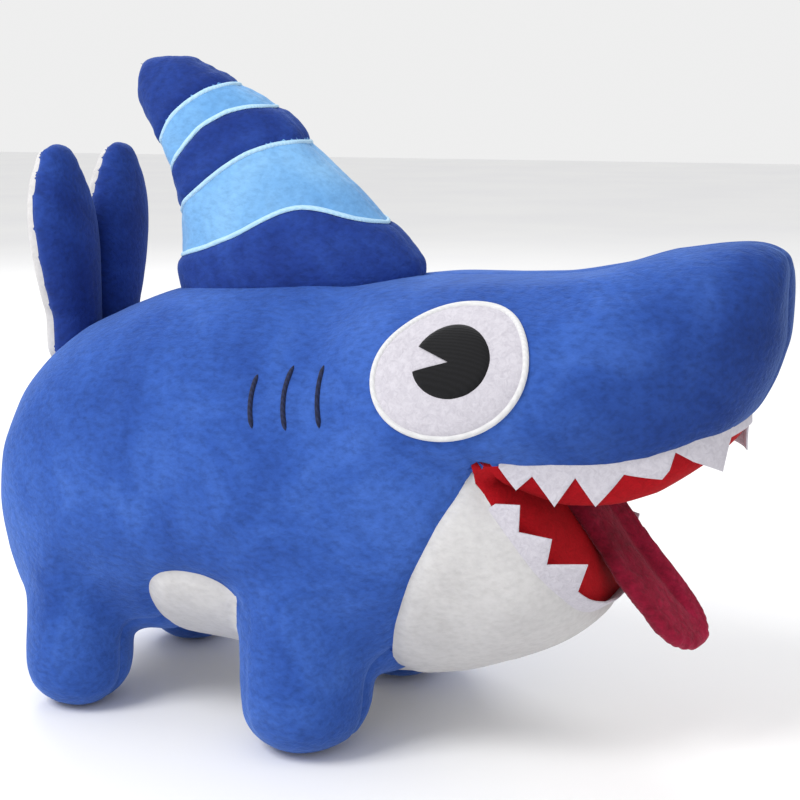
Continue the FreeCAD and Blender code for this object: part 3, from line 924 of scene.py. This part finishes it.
def build_tongue():
    points, triangles = stuffed("tongue_filling", TONGUE_VOXEL, 2.1 * MM, 9, 1 * MM,
                                shape=folded_tongue)
    points, triangles, _ = split_along(points, triangles, above_fold(points))
    normals = point_normals(points, triangles)
    points = points + normals * (bumpy(points, 6 * MM, 12) * 0.25 * MM)[:, None]
    top = above_fold(points[triangles].mean(1)) > 0
    for name, chosen in (("tongue_top", top), ("tongue_bottom", ~top)):
        piece = panel("skin_" + name, points, normals, triangles, chosen, 1.2 * MM)
        finish_piece(piece, "crimson_plush")
        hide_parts(name)
        if name == "tongue_top":
            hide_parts("tongue_filling")
        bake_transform(piece)


# ---- teeth --------------------------------------------------------------
def lip_path(upper):
    """The upper or lower edge of the mouth, evenly spaced, from its right corner to its left."""
    distance_up = np.abs(palate_height(mouth_rim) - LIP_EDGE)
    distance_down = np.abs(floor_height(mouth_rim) + CHIN_EDGE)
    chosen = distance_up < distance_down if upper else distance_down < distance_up
    forward = mouth_rim[:, 1] < THROAT[0] - 1.5 * MM
    chosen &= forward
    order = np.flatnonzero(chosen)
    gaps = np.flatnonzero(np.diff(order) > 6)
    if len(gaps):
        order = np.concatenate([order[gaps[0] + 1:], order[:gaps[0] + 1]])
    path = mouth_rim[order]
    if path[0, 0] > path[-1, 0]:
        path = path[::-1]
    path = smooth_path(path.copy(), 30, False)
    return even_path(path, 0.8 * MM, False)


def both_sides(teeth, length, left_height=1.0):
    """The outline of the right side's teeth, in metres, followed by the left side's."""
    right = [(distance * MM, height * MM) for distance, height in teeth]
    left = [(length - distance, height * left_height) for distance, height in reversed(right)]
    return right + left


def tooth_strip(name, lip, outline, start, end, stand, tuck, rows=9):
    """A strip of felt sewn to the lip from start to end, cut into teeth. stand is the way it stands."""
    marks = sorted({start, end} | {mark for mark, _ in outline if start <= mark <= end})
    places = np.concatenate([np.linspace(a, b, max(int((b - a) / (0.7 * MM)), 2), endpoint=False)
                             for a, b in zip(marks, marks[1:])] + [[marks[-1]]])
    base = at_length(lip, places)
    along = np.gradient(base, axis=0)
    along /= np.linalg.norm(along, axis=1, keepdims=True)
    up = np.broadcast_to(np.array(stand), base.shape)
    up = up - along * (up * along).sum(1, keepdims=True) * 0.6
    up = up / np.linalg.norm(up, axis=1, keepdims=True)
    outward = np.cross(along, up)
    if (outward * (base - lip.mean(0))).sum() < 0:
        outward = -outward
    height = np.interp(places, *zip(*outline))
    share = np.linspace(0, 1, rows)
    reach = -tuck + (height[:, None] + tuck) * share[None, :]
    curl = (np.clip(reach, 0, None) / (12 * MM)) ** 2 * 0.8 * MM
    waves = np.array([noise.noise(Vector(p) / (9 * MM)) for p in base])[:, None] * 0.5 * MM
    sheet = base[:, None] + up[:, None] * reach[:, :, None]
    sheet = sheet + outward[:, None] * (curl + waves * share[None, :] + TOOTH_OUT)[:, :, None]
    thin = np.full(reach.shape, 1.0)
    thin[:, -1] = 0.45
    thin[0, :] = 0.45
    thin[-1, :] = 0.45
    half = outward[:, None] * (FELT / 2 * thin)[:, :, None]
    points = np.concatenate([(sheet + half).reshape(-1, 3), (sheet - half).reshape(-1, 3)])
    columns, count = len(places), len(places) * rows
    faces = []
    for i in range(columns - 1):
        for j in range(rows - 1):
            a, b, c, d = i * rows + j, (i + 1) * rows + j, (i + 1) * rows + j + 1, i * rows + j + 1
            faces += [(a, b, c, d), (d + count, c + count, b + count, a + count)]
    border = ([i * rows for i in range(columns)] + [(columns - 1) * rows + j for j in range(1, rows)]
              + [i * rows + rows - 1 for i in range(columns - 2, -1, -1)]
              + [j for j in range(rows - 2, 0, -1)])
    for a, b in zip(border, border[1:] + border[:1]):
        faces.append((b, a, a + count, b + count))
    piece = make_object(name, points, faces)
    piece.data.materials.clear()
    mesh_fix = bmesh.new()
    mesh_fix.from_mesh(piece.data)
    bmesh.ops.recalc_face_normals(mesh_fix, faces=mesh_fix.faces)
    mesh_fix.to_mesh(piece.data)
    mesh_fix.free()
    return piece


def build_teeth():
    upper = lip_path(True)
    length = lengths_along(upper)[-1]
    outline = both_sides(UPPER_TEETH, length)
    strips = [("upper_teeth", upper, outline, outline[0][0], outline[-1][0], (0, 0, -1))]
    lower = lip_path(False)
    length = lengths_along(lower)[-1]
    outline = both_sides(LOWER_TEETH, length, LEFT_LOWER_TEETH)
    stand = (0, -math.sin(FLOOR_DROP), math.cos(FLOOR_DROP))
    strips.append(("lower_teeth_right", lower, outline, outline[0][0], length / 2, stand))
    strips.append(("lower_teeth_left", lower, outline, length / 2, outline[-1][0], stand))
    for name, lip, outline, start, end, stand in strips:
        strip = tooth_strip("felt_" + name, lip, outline, start, end, stand, TOOTH_TUCK)
        finish_piece(strip, "white_felt")
        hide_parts(name)
        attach(strip, "torso")


# ---- face and gills -----------------------------------------------------
def on_cheek(side, y, z, out):
    """The place on the body's side at (y, z), raised by out, and its normal."""
    origin = Vector((side * 0.2, y, z))
    place, normal, _, _ = body_skin.ray_cast(origin, Vector((-side, 0, 0)))
    if normal.x * side < 0:
        normal = -normal
    return np.array(place + normal * out), np.array(normal)


def oval_place(middle, size, tilt, turn, share):
    """(y, z) at a share of the way from an oval's middle to its edge."""
    along = math.cos(turn) * size[0] * share
    up = math.sin(turn) * size[1] * share
    return (middle[0] + along * math.cos(tilt) + up * math.sin(tilt),
            middle[1] - along * math.sin(tilt) + up * math.cos(tilt))


def patch(name, side, rings, out, thickness):
    """A patch of felt or thread laid on the cheek. rings are lists of (y, z), from inside out."""
    top, low = [], []
    last = len(rings) - 1
    for k, ring in enumerate(rings):
        for y, z in ring:
            place, normal = on_cheek(side, y, z, 0)
            rise = out * (0.35 if k == last else 0.85 if k == last - 1 else 1)
            top.append(place + normal * rise)
            low.append(place - normal * thickness)
    count, size = len(top), len(rings[0])
    faces = []
    for k in range(last):
        for i in range(size):
            j = (i + 1) % size
            a, b, c, d = k * size + i, k * size + j, (k + 1) * size + j, (k + 1) * size + i
            faces += [(a, b, c, d), (d + count, c + count, b + count, a + count)]
    faces.append(tuple(range(size)))
    faces.append(tuple(range(count + size - 1, count - 1, -1)))
    for i in range(size):
        j = (i + 1) % size
        a, b = last * size + i, last * size + j
        faces.append((b, a, a + count, b + count))
    obj = make_object(name, top + low, faces)
    fix = bmesh.new()
    fix.from_mesh(obj.data)
    bmesh.ops.triangulate(fix, faces=[f for f in fix.faces if len(f.verts) > 4])
    bmesh.ops.recalc_face_normals(fix, faces=fix.faces)
    fix.to_mesh(obj.data)
    fix.free()
    return obj


def eye_edge(turn):
    """The white oval isn't perfect: its front upper corner is a little squarer."""
    return 1 + 0.035 * falloff(math.remainder(turn - math.radians(140), 2 * math.pi), 0.5)


def pupil_rings(count=12):
    """Rings from the pupil's middle outward, each an outline with the notch cut from it."""
    first, last = PUPIL_NOTCH[1], PUPIL_NOTCH[0] + 2 * math.pi
    turns = np.linspace(first, last, 90)
    rings = []
    for share in np.linspace(0.06, 1, count):
        arc = [oval_place(PUPIL, PUPIL_SIZE, 0, turn, share) for turn in turns]
        mouth_middle = (PUPIL[0] + NOTCH_START * (1 - share), PUPIL[1])
        closing = [np.array(arc[-1]) * (1 - t) + np.array(mouth_middle) * t
                   for t in (0.25, 0.5, 0.75)]
        opening = [np.array(mouth_middle) * (1 - t) + np.array(arc[0]) * t
                   for t in (0, 0.25, 0.5, 0.75)]
        rings.append(arc + closing + opening)
    return rings


def build_face():
    turns = np.linspace(0, 2 * math.pi, 97)[:-1]
    for side, word in ((-1, "right"), (1, "left")):
        rings = [[oval_place(EYE, EYE_SIZE, EYE_TILT, turn, share * eye_edge(turn)) for turn in turns]
                 for share in np.linspace(0.05, 1, 14)]
        felt = patch("felt_eye_" + word, side, rings, FELT, 1 * MM)
        finish_piece(felt, "white_felt")
        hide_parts("eye_felt_" + word)
        edge = [on_cheek(side, y, z, FELT * 0.5) for y, z in rings[-1]]
        border = laid_cord("eye_border_" + word, np.array([e[0] for e in edge]),
                           np.array([e[1] for e in edge]), BORDER, 0.8 * MM, True)
        finish_piece(border, "white_felt", "white_thread")
        black = patch("stitched_pupil_" + word, side, pupil_rings(), FELT + 0.7 * MM, -FELT * 0.5)
        finish_piece(black, "black_embroidery")
        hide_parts("pupil_" + word)
        strokes = []
        for number, stroke in enumerate(GILLS):
            line = np.array([on_cheek(side, *place, 0.1 * MM)[0] for place in bowed(stroke)])
            up = np.array([on_cheek(side, *place, 0)[1] for place in bowed(stroke)])
            thread = laid_cord("gill_%d_%s" % (number + 1, word), line, up, GILL_WIDTH / 2, 0.7 * MM,
                               False, tapered=True)
            strokes.append(finish_piece(thread, "navy_embroidery"))
        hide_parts("gill_stitches_" + word)
        for piece in (felt, border, black, *strokes):
            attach(piece, "torso")


def bowed(stroke, count=26):
    """Evenly spaced (y, z) places on a smooth line through three."""
    (y0, z0), (y1, z1), (y2, z2) = stroke
    t = np.linspace(0, 1, count)
    first, middle, last = (1 - t) * (1 - 2 * t), 4 * t * (1 - t), t * (2 * t - 1)
    return np.stack([y0 * first + y1 * middle + y2 * last, z0 * first + z1 * middle + z2 * last], 1)


build_fin()
build_tail()
build_tongue()
build_teeth()
build_face()


# ---- camera, light and floor -------------------------------------------
def set_camera():
    """A lens of about 69 mm that looks at the right side, a little from the front and above."""
    low, high = cad_box
    aim = (low + high) / 2 + Vector((0.0029, -0.0068, -0.0035))
    azimuth, elevation, distance = math.radians(-64.73), math.radians(10.91), 0.5887
    back = Vector((math.sin(azimuth) * math.cos(elevation), -math.cos(azimuth) * math.cos(elevation),
                   math.sin(elevation)))
    lens = bpy.data.cameras.new("camera")
    lens.lens = 68.56
    camera = bpy.data.objects.new("camera", lens)
    camera.location = aim + back * distance
    camera.rotation_mode = "QUATERNION"
    camera.rotation_quaternion = (-back).to_track_quat("-Z", "Y")
    bpy.context.scene.collection.objects.link(camera)
    bpy.context.scene.camera = camera


def area_light(name, place, target, size, power):
    lamp = bpy.data.lights.new(name, "AREA")
    lamp.size = size
    lamp.energy = power
    obj = bpy.data.objects.new(name, lamp)
    obj.location = place
    obj.rotation_mode = "QUATERNION"
    obj.rotation_quaternion = (Vector(target) - Vector(place)).to_track_quat("-Z", "Y")
    bpy.context.scene.collection.objects.link(obj)


def set_stage():
    reach = 6
    floor = make_object("floor", [(-reach, -reach, 0), (reach, -reach, 0), (reach, reach, 0),
                                  (-reach, reach, 0)], [(0, 1, 2, 3)], smooth=False)
    look = Look("pale floor", 0.9)
    look.colour(look.ramp(look.cloud(3, 2), [(0.3, (0.86, 0.86, 0.87)), (0.7, (0.89, 0.89, 0.89))]))
    floor.data.materials.append(look.done())
    world = bpy.data.worlds.new("studio")
    world.use_nodes = True
    world.node_tree.nodes["Background"].inputs["Color"].default_value = (1, 1, 1, 1)
    world.node_tree.nodes["Background"].inputs["Strength"].default_value = 0.86
    bpy.context.scene.world = world
    bpy.context.scene.view_settings.view_transform = "Standard"
    middle = (0, 0, 0.13)
    area_light("key", (-1.0, 0.6, 1.3), middle, 0.7, 18)
    area_light("rim", (0.9, 0.9, 1.2), middle, 0.8, 9)


set_camera()
set_stage()
